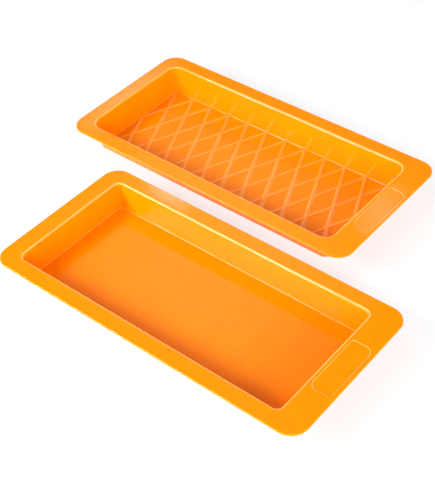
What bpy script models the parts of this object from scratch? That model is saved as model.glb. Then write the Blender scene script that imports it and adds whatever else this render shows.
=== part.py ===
"""Two-piece silicone nougat mould: a deep tray with a raised diamond lattice and a shallow smooth tray.

Lengths are in metres, +Z is up, the long sides run along X, and the origin is at the middle of the
pair, on the table. Each tray is one thin shell: a flat flange that turns down over a rounded rim into
drafted walls, and through a rounded bend into a flat floor. Its underside is the same section, one
wall thickness away. The lattice lines of the deep tray are half-round ridges laid on the unrolled inner
surface, so the lines of one family run on up the long walls as short leaning ribs.
"""

from math import cos, pi, radians, sin, tan

import bmesh
import bpy
from mathutils import Vector

# Both trays
flange_length = 0.280
flange_width = 0.1365
flange_corner_radius = 0.0140
flange_edge_radius = 0.0007
wall_thickness = 0.0020
rim_underside_radius = 0.0006
floor_bend_radius = 0.0012

# How the pair stands: the smooth tray's shift along the patterned one, and the gap between their flanges
stand_shift = 0.0685
stand_gap = 0.0159

# Smooth tray
smooth_depth = 0.0232
smooth_draft = radians(6)
smooth_side_flange = 0.0141
smooth_plain_end_flange = 0.0159
smooth_wide_end_flange = 0.0239
smooth_floor_corner_radius = 0.0015

# Patterned tray
patterned_depth = 0.0240
patterned_draft = radians(12)
patterned_side_flange = 0.0139
patterned_plain_end_flange = 0.0131
patterned_wide_end_flange = 0.0220
patterned_floor_corner_radius = 0.0030

# Ridges on the patterned tray's floor, and the ribs that one family becomes on the long walls
lattice_pitch = 0.0207
lattice_shift = 0.0066
lattice_angle = radians(66.4)
ridge_radius = 0.0014
ridge_sink = 0.0006
rib_height_share = 0.62
rib_tip_share = 0.35

# Facets
corner_steps = 8
bend_steps = 4
edge_steps = 2
ridge_steps = 2

rim_radius = wall_thickness + rim_underside_radius


class Well:
    """The hollow of one tray, from its edge: the line where the wall's plane would meet the flange's top.

    A station is a place on the inner section: its distance in from the edge, its height over the
    flange's top, and the surface's unit normal along those two directions.
    """

    def __init__(self, depth, draft, side_flange, plain_end_flange, wide_end_flange, floor_corner_radius):
        self.depth = depth
        self.top = depth + wall_thickness
        self.low = Vector((plain_end_flange - flange_length / 2, side_flange - flange_width / 2))
        self.high = Vector((flange_length / 2 - wide_end_flange, flange_width / 2 - side_flange))
        self.wall_turn = pi / 2 - draft
        self.floor_start = depth * tan(draft) + floor_bend_radius * tan(self.wall_turn / 2)
        self.corner_radius = self.floor_start + floor_corner_radius

    def rim(self):
        """The stations round the rim, from the flange down to the wall."""
        centre = -rim_radius * tan(self.wall_turn / 2)
        for step in range(bend_steps + 1):
            turn = self.wall_turn * step / bend_steps
            yield centre + rim_radius * sin(turn), rim_radius * (cos(turn) - 1), sin(turn), cos(turn)

    def bend(self):
        """The stations round the bend at the wall's foot, from the wall to the floor."""
        for step in range(bend_steps, -1, -1):
            turn = self.wall_turn * step / bend_steps
            inset = self.floor_start - floor_bend_radius * sin(turn)
            yield inset, floor_bend_radius * (1 - cos(turn)) - self.depth, sin(turn), cos(turn)

    def ring(self, station, below):
        """The loop round the well through a station, or some way below its surface."""
        inset, height, normal_in, normal_up = station
        inset -= below * normal_in
        trim = Vector((inset, inset))
        radius = self.corner_radius - inset
        return rounded_rectangle(
            self.low + trim, self.high - trim, radius, self.top + height - below * normal_up
        )

    def unrolled(self, travel):
        """The place across the well after some travel over its section from the middle of the floor.

        Gives the distance across and the height, sunk a little below the surface. The floor is flat, the
        bend is an arc about a centre one bend radius over the floor, and the wall runs on straight.
        """
        flat = (self.high.y - self.low.y) / 2 - self.floor_start
        beyond = max(abs(travel) - flat, 0)
        turn = min(beyond / floor_bend_radius, self.wall_turn)
        climb = max(beyond - floor_bend_radius * self.wall_turn, 0)
        sunk = floor_bend_radius + ridge_sink
        across = min(abs(travel), flat) + sunk * sin(turn) + climb * cos(turn)
        height = wall_thickness + floor_bend_radius - sunk * cos(turn) + climb * sin(turn)
        return across if travel > 0 else -across, height


def rounded_rectangle(low, high, radius, height):
    """The points of a rounded rectangle at one height, counter-clockwise from above."""
    inner_low = low + Vector((radius, radius))
    inner_high = high - Vector((radius, radius))
    centres = [
        (inner_high.x, inner_high.y),
        (inner_low.x, inner_high.y),
        (inner_low.x, inner_low.y),
        (inner_high.x, inner_low.y),
    ]
    points = []
    for quarter, (x, y) in enumerate(centres):
        for step in range(corner_steps + 1):
            turn = pi / 2 * (quarter + step / corner_steps)
            points.append(Vector((x + radius * cos(turn), y + radius * sin(turn), height)))
    return points


def flange_edge(top):
    """The loops round the flange's outer edge, from its underside to its top, with both arrises rounded."""
    half = Vector((flange_length / 2, flange_width / 2))
    centres = [top - wall_thickness + flange_edge_radius, top - flange_edge_radius]
    rings = []
    for side, centre in enumerate(centres):
        for step in range(edge_steps + 1):
            turn = pi / 2 * (side + step / edge_steps)
            inset = flange_edge_radius * (1 - sin(turn))
            trim = Vector((inset, inset))
            height = centre - flange_edge_radius * cos(turn)
            rings.append(
                rounded_rectangle(trim - half, half - trim, flange_corner_radius - inset, height)
            )
    return rings


def loft(rings):
    """One closed body through loops with equal counts, with a flat face on the first and the last."""
    body = bmesh.new()
    rows = [[body.verts.new(point) for point in ring] for ring in rings]
    for row, following in zip(rows, rows[1:]):
        for here in range(len(row)):
            body.faces.new((row[here - 1], row[here], following[here], following[here - 1]))
    body.faces.new(rows[0])
    body.faces.new(rows[-1])
    bmesh.ops.recalc_face_normals(body, faces=body.faces)
    mesh = bpy.data.meshes.new("loft")
    body.to_mesh(mesh)
    body.free()
    return mesh


def tray_mesh(well):
    """The plain shell: out along the underside to the flange, round its edge, and back in on top."""
    section = [*well.rim(), *well.bend()]
    underside = [well.ring(station, wall_thickness) for station in reversed(section)]
    inside = [well.ring(station, 0) for station in section]
    return loft([*underside, *flange_edge(well.top), *inside])


def core_mesh(well):
    """A block that fills the well and reaches halfway into its walls and floor."""
    section = [*well.rim(), *well.bend()]
    return loft([well.ring(station, wall_thickness / 2) for station in reversed(section)])


def ridge_paths(well):
    """The ridges' paths, as points with a share of the full ridge radius.

    The two families lean alike, left and right, and meet in pairs at the foot of the far long wall, one
    pair a little off the tray's middle line. The first family goes over the bends and up both long
    walls, to a tip that tapers off. The second runs straight on into the walls.
    """
    middle = (well.low + well.high) / 2
    half = (well.high - well.low) / 2
    lean = 1 / tan(lattice_angle)
    flat = half.y - well.floor_start
    bend_length = floor_bend_radius * well.wall_turn
    foot = flat + bend_length / 2
    bend_height = floor_bend_radius * (1 - cos(well.wall_turn))
    rib_climb = (rib_height_share * well.depth - bend_height) / sin(well.wall_turn)
    rib_end = flat + bend_length + rib_climb
    climb = [flat + bend_length * step / bend_steps for step in range(bend_steps + 1)]
    stops = [*climb, rib_end - ridge_radius, rib_end]
    shares = [1] * (len(stops) - 1) + [rib_tip_share]
    count = int((half.x + abs(lattice_shift) + 2 * half.y * lean) / lattice_pitch)
    paths = []
    for line in range(-count, count + 1):
        start = middle.x + lattice_shift + line * lattice_pitch
        climbing = []
        for sign, row in ((-1, list(zip(stops, shares))[::-1]), (1, zip(stops, shares))):
            for stop, share in row:
                across, height = well.unrolled(sign * stop)
                x = start + (sign * stop - foot) * lean
                climbing.append((Vector((x, middle.y + across, height)), share))
        paths.append(climbing)
        level = well.unrolled(0)[1]
        straight = []
        for y in (-half.y, half.y):
            straight.append((Vector((start - (y - foot) * lean, middle.y + y, level)), 1))
        paths.append(straight)
    return paths


def ridge_mesh(paths):
    """Round bars along the paths, as one mesh of separate closed bodies."""
    curve = bpy.data.curves.new("ridges", "CURVE")
    curve.dimensions = "3D"
    curve.bevel_depth = ridge_radius
    curve.bevel_resolution = ridge_steps
    curve.use_fill_caps = True
    for path in paths:
        spline = curve.splines.new("POLY")
        spline.points.add(len(path) - 1)
        for point, (place, share) in zip(spline.points, path):
            point.co = (*place, 1)
            point.radius = share
    bars = bpy.data.objects.new("ridge_paths", curve)
    bpy.context.scene.collection.objects.link(bars)
    bpy.context.view_layer.update()
    mesh = bpy.data.meshes.new_from_object(bars.evaluated_get(bpy.context.evaluated_depsgraph_get()))
    bpy.data.objects.remove(bars, do_unlink=True)
    return mesh


def add_object(name, mesh, location):
    item = bpy.data.objects.new(name, mesh)
    item.location = location
    bpy.context.scene.collection.objects.link(item)
    return item


def add_guide(name, mesh, location):
    guide = add_object(name, mesh, location)
    guide.hide_render = True
    guide.display_type = "WIRE"
    return guide


def combine(item, operation, other, crossing=False):
    modifier = item.modifiers.new(operation.title(), "BOOLEAN")
    modifier.operation = operation
    modifier.object = other
    modifier.solver = "EXACT"
    modifier.use_self = crossing


def keep_flats(item):
    """Let the large faces settle the shading, so the flange and floor look flat between the bends."""
    item.modifiers.new("Flat faces", "WEIGHTED_NORMAL").keep_sharp = True


def silicone(name):
    material = bpy.data.materials.new(name)
    material.use_nodes = True
    shader = material.node_tree.nodes["Principled BSDF"]
    shader.inputs["Base Color"].default_value = (0.95, 0.27, 0.01, 1)
    shader.inputs["Roughness"].default_value = 0.3
    shader.inputs["Metallic"].default_value = 0
    return material


def add_tray(name, well, location):
    mesh = tray_mesh(well)
    mesh.materials.append(silicone(name))
    mesh.shade_smooth()
    mesh.set_sharp_from_angle(angle=radians(35))
    return add_object(name, mesh, location)


def build():
    for item in list(bpy.data.objects):
        bpy.data.objects.remove(item, do_unlink=True)

    stand = Vector((stand_shift / 2, -(flange_width + stand_gap) / 2, 0))

    smooth_well = Well(
        smooth_depth,
        smooth_draft,
        smooth_side_flange,
        smooth_plain_end_flange,
        smooth_wide_end_flange,
        smooth_floor_corner_radius,
    )
    smooth_tray = add_tray("smooth_tray", smooth_well, stand)
    keep_flats(smooth_tray)

    patterned_well = Well(
        patterned_depth,
        patterned_draft,
        patterned_side_flange,
        patterned_plain_end_flange,
        patterned_wide_end_flange,
        patterned_floor_corner_radius,
    )
    patterned_tray = add_tray("patterned_tray", patterned_well, -stand)
    core = add_guide("well_core", core_mesh(patterned_well), -stand)
    ridges = add_guide("ridges", ridge_mesh(ridge_paths(patterned_well)), -stand)
    combine(ridges, "INTERSECT", core, crossing=True)
    combine(patterned_tray, "UNION", ridges)
    keep_flats(patterned_tray)


build()
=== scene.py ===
import math

import bmesh
import bpy
import numpy as np
from mathutils import Euler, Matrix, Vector
from mathutils.geometry import delaunay_2d_cdt


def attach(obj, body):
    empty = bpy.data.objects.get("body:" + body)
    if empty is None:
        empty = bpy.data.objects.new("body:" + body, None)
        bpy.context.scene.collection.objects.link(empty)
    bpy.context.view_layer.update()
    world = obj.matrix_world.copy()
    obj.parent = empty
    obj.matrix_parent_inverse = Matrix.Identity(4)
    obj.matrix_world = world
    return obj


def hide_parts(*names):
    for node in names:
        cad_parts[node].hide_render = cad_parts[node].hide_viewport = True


# Silicone nougat mould: a deep tray with a diamond lattice, and a shallow smooth one in front of it.
# Lengths are in millimetres and angles in degrees, unless a note says otherwise.

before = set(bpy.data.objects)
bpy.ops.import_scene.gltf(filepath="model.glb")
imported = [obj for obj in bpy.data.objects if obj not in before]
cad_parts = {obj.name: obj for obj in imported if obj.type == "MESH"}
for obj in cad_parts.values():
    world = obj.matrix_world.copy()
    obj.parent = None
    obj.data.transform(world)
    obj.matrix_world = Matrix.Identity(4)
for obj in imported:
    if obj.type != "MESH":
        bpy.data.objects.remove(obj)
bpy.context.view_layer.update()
millimetre = 0.001
print("frame loaded")


# Moulding sizes that both trays share
moulding = {
    "length": 280, "width": 136.5, "corner": 14,    # flange outline
    "edgeRound": 0.8,      # arrises of the flange's edge
    "wall": 2,             # silicone thickness everywhere
    "rim": 2.6,            # radius where the flange turns down into the well
    "bend": 1.2,           # radius where the wall turns into the floor
    "plateCorners": (7, 3, 6, 2.5),    # radii of the bare plate, counter-clockwise from its far outer corner
    "plateSink": 0.45, "plateSlope": 0.9,    # how deep the plate lies, and how wide its sloped border is
    "cornerSteps": 14, "bendSteps": 8, "wallSteps": 3, "rimSteps": 9, "edgeSteps": 4,
    "plateCornerSteps": 10, "plateSlopeSteps": 6,
    "merge": 0.002,        # mesh corners closer than this become one
}

smoothTray = {
    "middle": (34.25, -76.2), "depth": 23.2, "draft": 6,
    "sideFlange": 14.1, "plainEnd": 15.9, "wideEnd": 23.9, "floorCorner": 1.5,
    "plateLow": (119.5, -26.5), "plateHigh": (137.3, 26.3),
    "lattice": None,
}

patternedTray = {
    "middle": (-34.25, 76.2), "depth": 24, "draft": 12,
    "sideFlange": 13.9, "plainEnd": 13.1, "wideEnd": 22, "floorCorner": 3,
    "plateLow": (121.3, -28.5), "plateHigh": (138, 24.8),
    "lattice": {
        "pitch": 20.7, "angle": 66.4, "shift": 6.6,    # along the tray, to its length, and from its middle
        "height": 0.62, "halfWidth": 1.7, "roundness": 2.8, "fillet": 0.4,    # one ridge's cross-section
        "ribShare": 0.62, "ribTip": 6,    # how much of the depth the ribs climb, and how long they taper
        "wallPower": 12,      # keeps the ribs to the long walls, and fades them round the corners
        "steepest": 1.25,     # how far into the floor bend a ridge's top stays level, in radians
        "lines": (0, 0.22, 0.44, 0.64, 0.8, 0.94, 1.08, 1.24),    # mesh lines beside a ridge, in half widths
        "shortestLine": 0.5, "tipSteps": 6,
    },
}

# How strongly the raised and turned edges get a painted highlight of paler colour, and how much smoother and
# glossier they are made
edgeHighlightAndPolish = {
    "rimLean": 1.5, "rimPower": 5,      # where over the rim's arc it is strongest, and how narrow
    "bendShare": 0.25, "bendPower": 4,
    "ridgeShare": 0.34, "ribLoss": 0.2,    # on the floor's ridges, and how much less on the walls' ribs
    "plateShare": 2.4,
}


def finishSizes(tray):
    # The straight wall's length is what the depth leaves after both arcs, over the sine of their turn. A core
    # is an outline less its round corners; the floor's is the well's mouth less what draft and bend take.
    tray.update(moulding)
    tray["turn"] = math.radians(90 - tray["draft"])
    arcs = (tray["bend"] + tray["rim"]) * (1 - math.cos(tray["turn"]))
    tray["wallLength"] = (tray["depth"] - arcs) / math.sin(tray["turn"])
    tray["bendLength"] = tray["bend"] * tray["turn"]
    tray["wallEnd"] = tray["bendLength"] + tray["wallLength"]
    tray["travel"] = tray["wallEnd"] + tray["rim"] * tray["turn"]
    tray["top"] = tray["depth"] + tray["wall"]
    inset = tray["depth"] * math.tan(math.radians(tray["draft"])) + tray["bend"] * math.tan(tray["turn"] / 2)
    low = np.array([tray["plainEnd"] - tray["length"] / 2, tray["sideFlange"] - tray["width"] / 2])
    high = np.array([tray["length"] / 2 - tray["wideEnd"], tray["width"] / 2 - tray["sideFlange"]])
    tray["coreLow"] = low + inset + tray["floorCorner"]
    tray["coreHigh"] = high - inset - tray["floorCorner"]
    tray["flangeHigh"] = np.array([tray["length"], tray["width"]]) / 2 - tray["corner"]
    tray["flangeLow"] = -tray["flangeHigh"]


def cornerRays(low, high, steps):
    # Corner centres and outward rays, counter-clockwise: the ray is the cosine and sine of a turn that runs
    # once round, and each quarter of it belongs to one corner of the box.
    turn = (np.arange(4)[:, None] + np.linspace(0, 1, steps + 1)) * np.pi / 2
    outward = np.stack([np.cos(turn), np.sin(turn)], -1).reshape(-1, 2)
    upper = np.repeat(np.array([[1, 1], [0, 1], [0, 0], [1, 0]], bool), steps + 1, 0)
    return np.where(upper, high, low), outward


def section(tray, travel):
    # Cross-section by travel out from the floor's edge: level floor, arc up, straight drafted wall,
    # arc back to level, level flange. Gives the distance across, the height and the slope angle.
    turn = tray["turn"]
    up = np.clip(travel / tray["bend"], 0, turn)
    wall = np.clip(travel - tray["bendLength"], 0, tray["wallLength"])
    over = np.clip((travel - tray["bendLength"] - tray["wallLength"]) / tray["rim"], 0, turn)
    across = np.minimum(travel, 0) + tray["bend"] * np.sin(up) + wall * np.cos(turn)
    across += tray["rim"] * (np.sin(turn) - np.sin(turn - over)) + np.maximum(travel - tray["travel"], 0)
    height = tray["wall"] + tray["bend"] * (1 - np.cos(up)) + wall * np.sin(turn)
    height += tray["rim"] * (np.cos(turn - over) - np.cos(turn))
    return across, height, up - over


def outOf(tray, flat):
    # The nearest place of the floor's core, the unit ray from there, and the travel beyond the floor's edge,
    # which is the distance from the core less the floor's corner radius.
    core = np.clip(flat, tray["coreLow"], tray["coreHigh"])
    away = flat - core
    reach = np.linalg.norm(away, axis=1)
    tiny = 1e-9    # a place on the core itself has no ray, and must not divide by nothing
    return core, away / np.maximum(reach, tiny)[:, None], reach - tray["floorCorner"]


def wellPlace(tray, flat, lift):
    # An unrolled place carried onto the well: out from the core along its ray by the section's distance
    # across, up by its height, then off the surface by lift along the normal.
    core, outward, travel = outOf(tray, flat)
    across, height, slope = section(tray, travel)
    radial = tray["floorCorner"] + across - lift * np.sin(slope)
    return np.column_stack([core + outward * radial[:, None], height + lift * np.cos(slope)])


def wellRings(tray, stops):
    # The floor core's outline grown to each stop of the travel, unrolled, with the rays it grew along.
    centre, outward = cornerRays(tray["coreLow"], tray["coreHigh"], tray["cornerSteps"])
    return centre + outward * (tray["floorCorner"] + stops)[:, None, None], outward


def smoothMax(first, second, blend):
    # The larger of two values, plus a parabola where they are closer than blend, which rounds the crossing.
    return np.maximum(first, second) + np.maximum(blend - np.abs(first - second), 0) ** 2 / (4 * blend)


def ribTravel(tray):
    # How far from the floor's edge the ribs end: the bend, then what is left to climb over the wall's sine.
    climb = tray["lattice"]["ribShare"] * tray["depth"] - tray["bend"] * (1 - math.cos(tray["turn"]))
    return tray["bendLength"] + climb / math.sin(tray["turn"])


def ridgeLift(tray, flat):
    # Height of the lattice over the plain surface. Each family's crown is height times one less a power of
    # the distance to its nearest line. One family goes on up the long walls and tapers to a tip; the rest
    # stays level while the bend rises through it.
    lattice = tray["lattice"]
    if not lattice:
        return np.zeros(len(flat))
    outward, travel = outOf(tray, flat)[1:]
    middle = (tray["coreLow"] + tray["coreHigh"]) / 2
    x, y = (flat - middle).T
    lean = 1 / math.tan(math.radians(lattice["angle"]))
    foot = tray["coreHigh"][1] - middle[1] + tray["floorCorner"] + tray["bendLength"] / 2
    up = np.clip(travel / tray["bend"], 0, lattice["steepest"])

    def crown(sign, scale):
        line = x - lattice["shift"] + sign * lean * (y - foot)
        apart = np.abs(line - lattice["pitch"] * np.round(line / lattice["pitch"]))
        apart = apart * math.sin(math.radians(lattice["angle"])) / lattice["halfWidth"]
        deepest = 2    # how far the crown drops away from its line, in its own heights
        return lattice["height"] * (scale - np.minimum(apart ** lattice["roundness"], deepest))

    def level(height):
        return (height - tray["bend"] * (1 - np.cos(up))) / np.cos(up)

    ribEnd, plainWall = ribTravel(tray), 1    # the wall is plain from 1 mm past the ribs' end
    climbing = crown(-1, np.clip((ribEnd - travel) / lattice["ribTip"], 0, 1))
    climbs = np.abs(outward[:, 1]) ** lattice["wallPower"]
    first = np.where(travel > 0, climbs * climbing + (1 - climbs) * level(crown(-1, 1)), climbing)
    second = level(crown(1, 1))
    lift = smoothMax(smoothMax(first, second, lattice["fillet"]), 0, lattice["fillet"])
    return np.where(travel < ribEnd + plainWall, lift, 0)


def latticeLines(tray):
    # The unrolled lines along and beside each ridge, clipped to the floor, its end bends and, for the family
    # that climbs, the long walls. A line's place along the tray is its start plus the slope times the way
    # across from the far wall's foot.
    lattice = tray["lattice"]
    lean = 1 / math.tan(math.radians(lattice["angle"]))
    middle = (tray["coreLow"] + tray["coreHigh"]) / 2
    half = (tray["coreHigh"] - tray["coreLow"]) / 2 + tray["floorCorner"]
    foot = half[1] + tray["bendLength"] / 2
    edge = half[0] + tray["bendLength"]
    count = int((edge + 2 * foot * lean) / lattice["pitch"]) + 1
    shares = np.array(lattice["lines"])
    aside = np.concatenate([-shares[:0:-1], shares]) * lattice["halfWidth"]
    aside = aside / math.sin(math.radians(lattice["angle"]))
    start = (np.arange(-count, count + 1)[:, None] * lattice["pitch"] + aside).ravel() + lattice["shift"]
    lines = []
    for sign, reach in ((1, half[1] + ribTravel(tray)), (-1, half[1] + tray["bendLength"])):
        slope = sign * lean
        ends = np.sort(np.stack([(-edge - start) / slope, (edge - start) / slope]), 0) + foot
        low, high = np.maximum(ends[0], -reach), np.minimum(ends[1], reach)
        keep = high - low > lattice["shortestLine"]
        low, high, kept = low[keep], high[keep], start[keep]
        lines.append(np.stack([
            np.column_stack([kept + slope * (low - foot), low]),
            np.column_stack([kept + slope * (high - foot), high]),
        ], 1))
    return np.concatenate(lines) + middle


def triangulate(loops, lines):
    # One flat sheet of triangles inside the outermost loop, with every loop and line kept as edges.
    points, edges, count = [], [], 0
    for loop in loops:
        index = np.arange(len(loop)) + count
        points.append(loop)
        edges.append(np.column_stack([index, np.roll(index, -1)]))
        count += len(loop)
    if len(lines):
        points.append(lines.reshape(-1, 2))
        edges.append((np.arange(2 * len(lines)) + count).reshape(-1, 2))
    insideOnly, closest = 1, 1e-4    # kind of result, and how near two points may be and stay two
    sheet = delaunay_2d_cdt(
        np.concatenate(points).tolist(), np.concatenate(edges).tolist(), [], insideOnly, closest)
    return np.array(sheet[0]), np.array(sheet[2])


def normalsOf(place, flat):
    # Surface normals: the cross product of small steps both ways along the two parameters.
    step = 0.01
    alongX = place(flat + (step, 0)) - place(flat - (step, 0))
    alongY = place(flat + (0, step)) - place(flat - (0, step))
    normal = np.cross(alongX, alongY)
    return normal / np.linalg.norm(normal, axis=1)[:, None]


def highlightAndPolishOf(tray, flat):
    # How much a place belongs to a raised or turned edge, which gets a painted highlight of paler colour and
    # is
    # made smoother and glossier: a power of a sine over the rim's arc, a fainter one over the floor bend, and
    # a share of the ridges' height that falls over the bend, so the walls' ribs are fainter than the floor's
    # ridges.
    travel = outOf(tray, flat)[2]
    over = np.clip((travel - tray["bendLength"] - tray["wallLength"]) / (tray["rim"] * tray["turn"]), 0, 1)
    up = np.clip(travel / tray["bendLength"], 0, 1)
    rim = np.sin(np.pi * over ** edgeHighlightAndPolish["rimLean"]) ** edgeHighlightAndPolish["rimPower"]
    highlightAndPolish = np.maximum(rim, edgeHighlightAndPolish["bendShare"] * np.sin(np.pi * up) ** edgeHighlightAndPolish["bendPower"])
    if tray["lattice"]:
        raised = np.clip(ridgeLift(tray, flat) / tray["lattice"]["height"], 0, 1)
        highlightAndPolish = np.maximum(highlightAndPolish, raised * (edgeHighlightAndPolish["ridgeShare"] - edgeHighlightAndPolish["ribLoss"] * up))
    return highlightAndPolish


def wellSheet(tray):
    # The well's inside, triangulated unrolled, with a ring at every stop of the section and the lattice's
    # lines, then carried onto the section with the ridges' lift.
    stops = np.concatenate([
        np.linspace(0, tray["bendLength"], tray["bendSteps"] + 1),
        np.linspace(tray["bendLength"], tray["wallEnd"], tray["wallSteps"] + 1)[1:],
        np.linspace(tray["wallEnd"], tray["travel"], tray["rimSteps"] + 1)[1:],
    ])
    lines = np.zeros((0, 2, 2))
    if tray["lattice"]:
        taper = tray["lattice"]["ribTip"] * np.linspace(0, 1, tray["lattice"]["tipSteps"] + 1)
        stops = np.concatenate([stops, ribTravel(tray) - taper])
        lines = latticeLines(tray)
    flat, faces = triangulate(wellRings(tray, np.sort(stops)[::-1])[0], lines)

    def place(spot):
        return wellPlace(tray, spot, ridgeLift(tray, spot))

    return place(flat), normalsOf(place, flat), [faces], highlightAndPolishOf(tray, flat)


def plateShare(tray, spot):
    # How much of the plate's sink a spot of the flange has: none outside the plate's outline, all of it one
    # slope inside, and s squared times (3 - 2 s) between. The outline's corner radius is that of the quarter
    # the spot is in.
    low, high = np.array(tray["plateLow"]), np.array(tray["plateHigh"])
    right, upper = (spot > (low + high) / 2).T
    first, second, third, fourth = tray["plateCorners"]
    corner = np.where(upper, np.where(right, first, second), np.where(right, fourth, third))[:, None]
    core = np.clip(spot, low + corner, high - corner)
    inside = corner[:, 0] - np.linalg.norm(spot - core, axis=1)
    share = np.clip(inside / tray["plateSlope"], 0, 1)
    return share * share * (3 - 2 * share)


def flangeSheet(tray):
    # The flange's top between its outline and the rim, level but for the plate. Triangles whose middle lies
    # within the rim's line are the well's mouth and are left out. The painted highlight and polish on the
    # plate's slope go by s (1 - s), where s is the share that is sunk.
    centre, outward = cornerRays(tray["flangeLow"], tray["flangeHigh"], tray["cornerSteps"])
    mouth = wellRings(tray, np.array([tray["travel"]]))[0][0]
    loops = [centre + outward * (tray["corner"] - tray["edgeRound"]), wellPlace(tray, mouth, 0)[:, :2]]
    steps = tray["plateCornerSteps"]
    corners, outward = cornerRays(np.array(tray["plateLow"]), np.array(tray["plateHigh"]), steps)
    radius = np.repeat(tray["plateCorners"], steps + 1)[:, None]
    centre = corners - radius * np.sign(corners - corners.mean(0))
    for share in np.linspace(0, 1, tray["plateSlopeSteps"] + 1):
        loops.append(centre + outward * (radius - share * tray["plateSlope"]))
    flat, faces = triangulate(loops, np.zeros((0, 2, 2)))
    travel = outOf(tray, flat[faces].mean(1))[2]
    rimLine = section(tray, np.array([tray["travel"]]))[0][0]
    tolerance = 0.001

    def place(spot):
        return np.column_stack([spot, tray["top"] - tray["plateSink"] * plateShare(tray, spot)])

    sunk = plateShare(tray, flat)
    # The plate's sloped border gets a painted highlight of paler colour, and more polish.
    highlightAndPolish = edgeHighlightAndPolish["plateShare"] * sunk * (1 - sunk)
    return place(flat), normalsOf(place, flat), [faces[travel >= rimLine - tolerance]], highlightAndPolish


def withHeight(flat, height):
    # Rings of flat places, each ring with one height.
    return np.dstack([flat, np.broadcast_to(height[:, None], flat.shape[:2])])


def underSheet(tray):
    # Rings carried round: over the flange's edge by two quarter arcs, in under the flange, and down the
    # outside of the well one wall thickness off its inside.
    centre, outward = cornerRays(tray["flangeLow"], tray["flangeHigh"], tray["cornerSteps"])
    turn = np.linspace(0, np.pi / 2, tray["edgeSteps"] + 1)
    turn = np.concatenate([turn, turn + np.pi / 2])
    upper = np.arange(len(turn)) <= tray["edgeSteps"]
    middles = np.where(upper, tray["top"] - tray["edgeRound"], tray["top"] - tray["wall"] + tray["edgeRound"])
    radius = tray["corner"] - tray["edgeRound"] * (1 - np.sin(turn))
    edge = withHeight(centre + outward * radius[:, None, None], middles + tray["edgeRound"] * np.cos(turn))
    edgeNormal = withHeight(outward * np.sin(turn)[:, None, None], np.cos(turn))

    stops = np.concatenate([
        np.linspace(tray["travel"], tray["wallEnd"], tray["rimSteps"] + 1),
        np.linspace(tray["bendLength"], 0, tray["bendSteps"] + 1)])
    rings, outward = wellRings(tray, stops)
    body = wellPlace(tray, rings.reshape(-1, 2), -tray["wall"]).reshape(*rings.shape[:2], 3)
    slope = section(tray, stops)[2]
    bodyNormal = withHeight(outward * np.sin(slope)[:, None, None], -np.cos(slope))

    places, normals = np.concatenate([edge, body]), np.concatenate([edgeNormal, bodyNormal])
    rows, count = places.shape[:2]
    index = np.arange(rows * count).reshape(rows, count)
    here, there = index[:-1], index[1:]
    quads = np.stack([here, there, np.roll(there, -1, 1), np.roll(here, -1, 1)], -1).reshape(-1, 4)
    base = index[-1:]
    return places.reshape(-1, 3), normals.reshape(-1, 3), [quads, base], np.zeros(rows * count)


def makeTray(name, body, tray, material):
    # The three sheets share their border rings, so merging doubles closes them into one skin. Every vertex
    # keeps the normal worked out from its own surface, and its share of painted edge highlight and polish for
    # the material.
    finishSizes(tray)
    sheets = [wellSheet(tray), flangeSheet(tray), underSheet(tray)]
    places, normals, faces, highlightAndPolishMasks, count = [], [], [], [], 0
    for sheetPlaces, sheetNormals, faceGroups, sheetHighlightAndPolish in sheets:
        places.append(sheetPlaces)
        normals.append(sheetNormals)
        highlightAndPolishMasks.append(sheetHighlightAndPolish)
        for group in faceGroups:
            faces += (group + count).tolist()
        count += len(sheetPlaces)
    places = (np.concatenate(places) + (*tray["middle"], 0)) * millimetre
    mesh = bpy.data.meshes.new(name)
    mesh.from_pydata(places.tolist(), [], faces)
    mesh.attributes.new("surfaceNormal", "FLOAT_VECTOR", "POINT").data.foreach_set(
        "vector", np.concatenate(normals).ravel().astype(np.float32))
    # Edge mask: where a highlight is painted in paler colour, and where the coat and polish go up.
    mesh.attributes.new("highlightAndPolish", "FLOAT", "POINT").data.foreach_set(
        "value", np.concatenate(highlightAndPolishMasks).astype(np.float32))
    build = bmesh.new()
    build.from_mesh(mesh)
    bmesh.ops.remove_doubles(build, verts=build.verts, dist=tray["merge"] * millimetre)
    bmesh.ops.recalc_face_normals(build, faces=build.faces)
    openEdges = sum(1 for edge in build.edges if len(edge.link_faces) != 2)
    build.to_mesh(mesh)
    build.free()
    mesh.shade_smooth()
    kept = np.zeros(len(mesh.vertices) * 3, np.float32)
    mesh.attributes["surfaceNormal"].data.foreach_get("vector", kept)
    mesh.normals_split_custom_set_from_vertices(kept.reshape(-1, 3).tolist())
    mesh.attributes.remove(mesh.attributes["surfaceNormal"])
    mesh.materials.append(material)
    piece = bpy.data.objects.new(name, mesh)
    bpy.context.scene.collection.objects.link(piece)
    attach(piece, body)
    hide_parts(body)
    mesh.calc_loop_triangles()
    print(name, "made:", len(mesh.loop_triangles), "triangles,", openEdges, "open edges")


def fill(tree, node, values):
    # Gives a node its inputs: another node's socket is linked, and anything else is set.
    for key, value in values.items():
        if isinstance(value, bpy.types.NodeSocket):
            tree.links.new(value, node.inputs[key])
        else:
            node.inputs[key].default_value = value
    return node


def addNode(tree, kind, values):
    # A new node with its inputs given.
    return fill(tree, tree.nodes.new(kind), values)


def calculate(tree, operation, *values):
    # One math node on sockets or numbers; gives the socket with its result.
    node = tree.nodes.new("ShaderNodeMath")
    node.operation = operation
    return fill(tree, node, dict(enumerate(values))).outputs[0]


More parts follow.
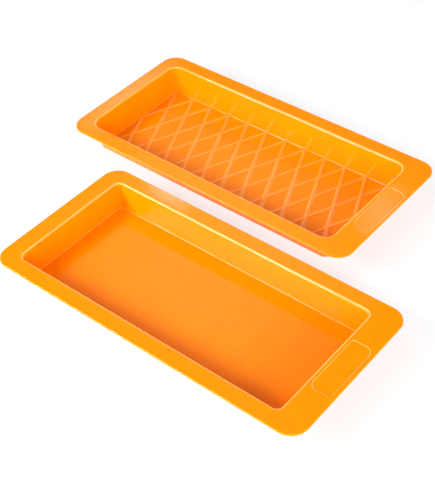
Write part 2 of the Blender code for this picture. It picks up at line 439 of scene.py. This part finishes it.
# Silicone
siliconeLook = {
    "skin": {    # what the shared group of nodes is given
        "Tint": (0.97, 0.229, 0.0, 1), "Deep": (0.967, 0.226, 0.0, 1), "Pale": (0.975, 0.24, 0.0, 1),
        "Drift": 18, "Peel": 260,    # how fine the tint's drift and the orange peel are, per metre
        "Shine": 0.26, "Spread": 0.04,    # roughness, and how far dry and shiny patches go from it
        "Gloss": 0.75,    # coat away from the edges
        # The edge highlight colour is a painted highlight on raised and turned edges; its share sets how much
        # is mixed in, and its polish how much smoother those edges are.
        "Edge highlight": (1.0, 0.55, 0.17, 1), "Crest share": 0.62, "Crest polish": 0.1,    # raised and turned edges
    },
    "shader": {    # what is the same all over
        "IOR": 1.41, "Specular IOR Level": 0.02, "Coat Roughness": 0.08, "Coat IOR": 1.41,
        "Subsurface Weight": 0.6, "Subsurface Radius": (1, 0.35, 0.08), "Subsurface Scale": 0.003,
    },
    "bump": {"Strength": 0.06, "Distance": 0.0006},
}

# The noises behind the skin
skinForm = {
    "drift": (3, 0.5), "peel": (2, 0.45),    # detail and roughness
    "patches": (34, 4, 0.6), "waves": (45, 1, 0.4),    # scale, detail and roughness
    "deepShare": (0.42, 0.62, 0, 0.6),    # noise from and to, and the share from and to that it becomes
    "paleShare": (0.5, 0.3, 0, 0.5),
    "patchShare": (0.35, 0.65, -1, 1),
    "peelHeight": 0.05,    # against the broad waves
}


def skinGroup():
    # Moulded skin: broad drifts in tint, a faint orange-peel unevenness, dry and shiny patches, and, where
    # the mesh's edge mask says so, a painted highlight of paler colour with smoother and glossier edges.
    group = bpy.data.node_groups.new("mouldedSkin", "ShaderNodeTree")
    for name, value in siliconeLook["skin"].items():
        kind = "NodeSocketColor" if isinstance(value, tuple) else "NodeSocketFloat"
        group.interface.new_socket(name=name, in_out="INPUT", socket_type=kind).default_value = value
    for name, kind in (("Colour", "Color"), ("Roughness", "Float"), ("Coat", "Float"), ("Height", "Float")):
        group.interface.new_socket(name=name, in_out="OUTPUT", socket_type="NodeSocket" + kind)
    given = group.nodes.new("NodeGroupInput").outputs
    coordinates = group.nodes.new("ShaderNodeTexCoord").outputs["Object"]
    edges = group.nodes.new("ShaderNodeAttribute")
    edges.attribute_name = "highlightAndPolish"
    highlightAndPolish = edges.outputs["Fac"]

    def noise(scale, detail, roughness):
        values = {"Vector": coordinates, "Scale": scale, "Detail": detail, "Roughness": roughness}
        return addNode(group, "ShaderNodeTexNoise", values).outputs["Fac"]

    def remap(value, low, high, toLow, toHigh):
        values = {"Value": value, "From Min": low, "From Max": high, "To Min": toLow, "To Max": toHigh}
        return addNode(group, "ShaderNodeMapRange", values).outputs["Result"]

    def mixed(factor, first, second):
        node = group.nodes.new("ShaderNodeMix")
        node.data_type = "RGBA"
        return fill(group, node, {"Factor": factor, "A": first, "B": second}).outputs["Result"]

    drift = noise(given["Drift"], *skinForm["drift"])
    peel = noise(given["Peel"], *skinForm["peel"])
    waves = noise(*skinForm["waves"])
    patches = remap(noise(*skinForm["patches"]), *skinForm["patchShare"])
    colour = mixed(remap(drift, *skinForm["deepShare"]), given["Tint"], given["Deep"])
    colour = mixed(remap(drift, *skinForm["paleShare"]), colour, given["Pale"])
    # Painted highlight: the paler edge colour is mixed in by the edge mask.
    colour = mixed(calculate(group, "MULTIPLY", highlightAndPolish, given["Crest share"]), colour, given["Edge highlight"])
    rough = calculate(group, "MULTIPLY_ADD", patches, given["Spread"], given["Shine"])
    polish = calculate(group, "MULTIPLY", highlightAndPolish, given["Crest polish"])
    glossLeft = calculate(group, "SUBTRACT", 1, given["Gloss"])
    addNode(group, "NodeGroupOutput", {
        "Colour": colour,
        "Roughness": calculate(group, "SUBTRACT", rough, polish),
        "Coat": calculate(group, "MULTIPLY_ADD", highlightAndPolish, glossLeft, given["Gloss"]),
        "Height": calculate(group, "MULTIPLY_ADD", peel, skinForm["peelHeight"], waves),
    })
    return group


def siliconeMaterial(name, group):
    # The skin group paints the colour, roughness, coat and bump; the rest stands on the shader's own sockets.
    material = bpy.data.materials.new(name)
    material.use_nodes = True
    tree = material.node_tree
    skin = tree.nodes.new("ShaderNodeGroup")
    skin.node_tree = group
    fill(tree, skin, siliconeLook["skin"])
    bump = addNode(tree, "ShaderNodeBump", {**siliconeLook["bump"], "Height": skin.outputs["Height"]})
    fill(tree, tree.nodes["Principled BSDF"], {
        **siliconeLook["shader"],
        "Base Color": skin.outputs["Colour"],
        "Roughness": skin.outputs["Roughness"],
        "Coat Weight": skin.outputs["Coat"],
        "Normal": bump.outputs["Normal"],
    })
    return material


skin = skinGroup()
print("silicone skin mixed")
makeTray("patternedTray", "patterned_tray", patternedTray,
         siliconeMaterial("patternedSilicone", skin))
makeTray("smoothTray", "smooth_tray", smoothTray,
         siliconeMaterial("smoothSilicone", skin))


# Floor, light and camera, with places in metres
studio = {
    "floor": 4, "floorColour": (0.9, 0.9, 0.9, 1), "floorRoughness": 0.9,
    "floorGlow": 0.74, "glowFade": (0.35, 1.3),    # glow near the object, and where it grows to plain white
    "white": (1, 1, 1, 1), "world": 0.08,
    "notMirrored": ("frontBox", "rightBox"),    # low boxes that would whiten level flanges seen from behind
    "cameraPlace": (0.42111, -0.49752, 0.59207), "cameraTurn": (47.129, 1.95, 38.924),
    "lens": 81.14, "sensor": 36, "clip": (0.01, 20),
}

softBoxes = {   # place, aim, width, height, watts
    "frontBox": ((0.115, -1.311, 0.499), (0, 0, 0.01), 1.6, 0.8, 17.5),
    "rightBox": ((0.98, -0.263, 0.28), (0, 0, 0.01), 1.2, 0.5, 13.5),
    "leftBox": ((-0.661, -0.962, 0.793), (0, 0, 0.01), 0.56, 0.36, 20),
    "nearBox": ((0, 0, 0.45), (0, 0, 0), 0.2, 0.2, 0.5),
    "backStrip": ((0.0, 1.418, 0.508), (0, 0, 0.03), 2.4, 0.85, 13),
    "leftStrip": ((-1.26, 0.728, 0.383), (0, 0, 0.03), 1, 0.4, 2.5),
    "smoothCard": ((-0.379, 0.385, 0.6), (-0.379, 0.385, 0), 0.55, 0.34, 0.49),
    "patternedCard": ((-0.4955, 0.6, 0.605), (-0.4955, 0.6, 0), 0.55, 0.27, 0.26),
    "endCard": ((-0.765, 0.658, 0.61), (-0.765, 0.658, 0), 0.07, 0.27, 0.19),
    "lensCard": ((-0.518, 0.478, 0.595), (-0.518, 0.478, 0), 0.095, 0.03, 0.075),
    "rightCard": ((-0.217, 0.637, 0.59), (-0.217, 0.637, 0), 0.045, 0.11, 0.06),
}


def blendInto(tree, output, share, first, second):
    # The output shows the first shader, and the second by its share.
    blend = addNode(tree, "ShaderNodeMixShader", {"Fac": share, 1: first, 2: second})
    fill(tree, tree.nodes[output], {"Surface": blend.outputs["Shader"]})


def makeFloor():
    # A pale square that takes the object's shadow. What the camera and mirror rays see of it is part plain
    # white, by a share that grows with the distance from the object.
    half = studio["floor"] / 2
    corners = [(-half, -half, 0), (half, -half, 0), (half, half, 0), (-half, half, 0)]
    mesh = bpy.data.meshes.new("floor")
    mesh.from_pydata(corners, [], [(0, 1, 2, 3)])
    material = bpy.data.materials.new("paleFloor")
    material.use_nodes = True
    tree = material.node_tree
    pale = fill(tree, tree.nodes["Principled BSDF"], {
        "Base Color": studio["floorColour"], "Roughness": studio["floorRoughness"]})
    glow = addNode(tree, "ShaderNodeEmission", {"Color": studio["white"], "Strength": 1})
    rays = tree.nodes.new("ShaderNodeLightPath").outputs
    coordinates = tree.nodes.new("ShaderNodeTexCoord")
    reach = addNode(tree, "ShaderNodeVectorMath", {0: coordinates.outputs["Object"]})
    reach.operation = "LENGTH"
    fade = addNode(tree, "ShaderNodeMapRange", {
        "Value": reach.outputs["Value"], "To Min": studio["floorGlow"],
        "From Min": studio["glowFade"][0], "From Max": studio["glowFade"][1]})
    seen = calculate(tree, "MAXIMUM", rays["Is Camera Ray"], rays["Is Glossy Ray"])
    share = calculate(tree, "MULTIPLY", seen, fade.outputs["Result"])
    blendInto(tree, "Material Output", share, pale.outputs["BSDF"], glow.outputs["Emission"])
    mesh.materials.append(material)
    floor = bpy.data.objects.new("floor", mesh)
    bpy.context.scene.collection.objects.link(floor)


def fadeEdges(light):
    # The card glows most in its middle and fades to nothing at its rim: each way across gives 4 u (1 - u),
    # and the two are multiplied.
    light.use_nodes = True
    tree = light.node_tree
    spot = tree.nodes.new("ShaderNodeNewGeometry").outputs["Parametric"]
    parts = addNode(tree, "ShaderNodeSeparateXYZ", {"Vector": spot})
    glow = 1
    for axis in ("X", "Y"):
        rest = calculate(tree, "MULTIPLY_ADD", parts.outputs[axis], -4, 4)
        glow = calculate(tree, "MULTIPLY", glow, calculate(tree, "MULTIPLY", parts.outputs[axis], rest))
    fill(tree, tree.nodes["Emission"], {"Strength": glow})


def makeLights():
    for name, (place, aim, width, height, watts) in softBoxes.items():
        light = bpy.data.lights.new(name, "AREA")
        light.shape = "RECTANGLE"
        light.size, light.size_y, light.energy = width, height, watts
        if name.endswith("Card"):
            fadeEdges(light)
        lamp = bpy.data.objects.new(name, light)
        lamp.location = place
        lamp.rotation_euler = (Vector(aim) - Vector(place)).to_track_quat("-Z", "Y").to_euler()
        lamp.visible_glossy = name not in studio["notMirrored"]
        bpy.context.scene.collection.objects.link(lamp)


def makeWorld():
    # Faint light from all round; the camera sees plain white.
    world = bpy.data.worlds.new("studioWorld")
    bpy.context.scene.world = world
    world.use_nodes = True
    tree = world.node_tree
    sky = fill(tree, tree.nodes["Background"], {"Color": studio["white"], "Strength": studio["world"]})
    white = addNode(tree, "ShaderNodeBackground", {"Color": studio["white"]})
    rays = tree.nodes.new("ShaderNodeLightPath").outputs
    blendInto(
        tree, "World Output", rays["Is Camera Ray"], sky.outputs["Background"], white.outputs["Background"])


def makeCamera():
    lens = bpy.data.cameras.new("photoCamera")
    lens.lens, lens.sensor_width = studio["lens"], studio["sensor"]
    lens.clip_start, lens.clip_end = studio["clip"]
    camera = bpy.data.objects.new("photoCamera", lens)
    camera.location = studio["cameraPlace"]
    camera.rotation_euler = Euler([math.radians(turn) for turn in studio["cameraTurn"]])
    bpy.context.scene.collection.objects.link(camera)
    bpy.context.scene.camera = camera


makeFloor()
makeLights()
makeWorld()
makeCamera()
bpy.context.scene.view_settings.view_transform = "Standard"
print("floor, light and camera placed")
